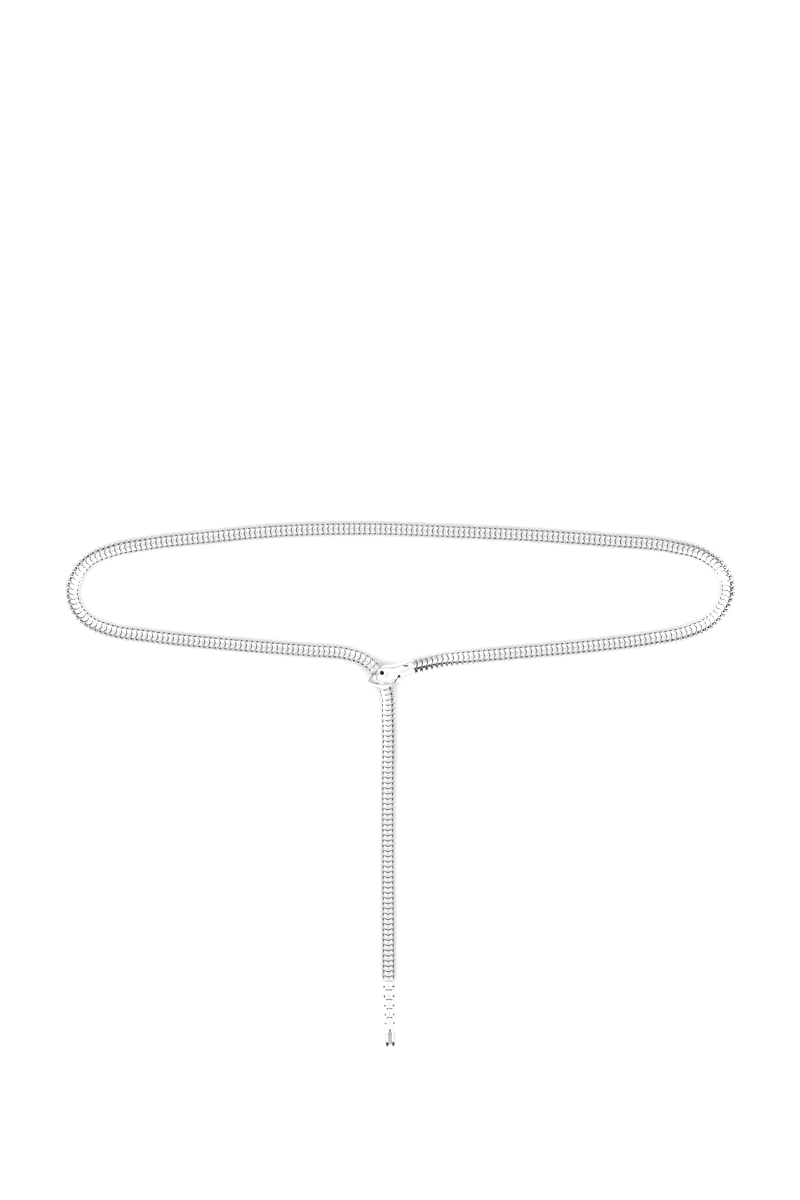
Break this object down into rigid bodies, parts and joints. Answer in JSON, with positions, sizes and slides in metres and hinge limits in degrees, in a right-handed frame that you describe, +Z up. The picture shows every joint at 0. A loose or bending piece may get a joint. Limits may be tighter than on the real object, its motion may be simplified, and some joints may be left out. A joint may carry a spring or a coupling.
{
  "type": "waist chain",
  "caption": "Snake chain belt laid flat as one loop, closed where a snake's head is hooked over its own chain, with a hanging tail, rattle segments and a forked tip.",
  "frame": {"origin": "on the floor under the middle of the whole outline, loop and tail together", "axes": "+X to the right along the loop's width, +Y from the tail's tip towards the far side of the loop, +Z up from the floor"},
  "size_m": [0.3682, 0.2881, 0.0122],
  "materials": {
    "chain_silver": "polished plated chain, darker between the links",
    "polished_silver": "mirror-polished plated casting",
    "black_stone": "glossy black cabochon"
  },
  "bodies": {
    "root": {"snake_head": "polished_silver", "eye": "black_stone", "neck_pin": "polished_silver", "loop_chain": "chain_silver", "tail_chain": "chain_silver", "rattle_1": "polished_silver", "rattle_2": "polished_silver", "rattle_3": "polished_silver", "rattle_4": "polished_silver", "rattle_5": "polished_silver", "tail_tip": "polished_silver"}
  },
  "joints": []
}
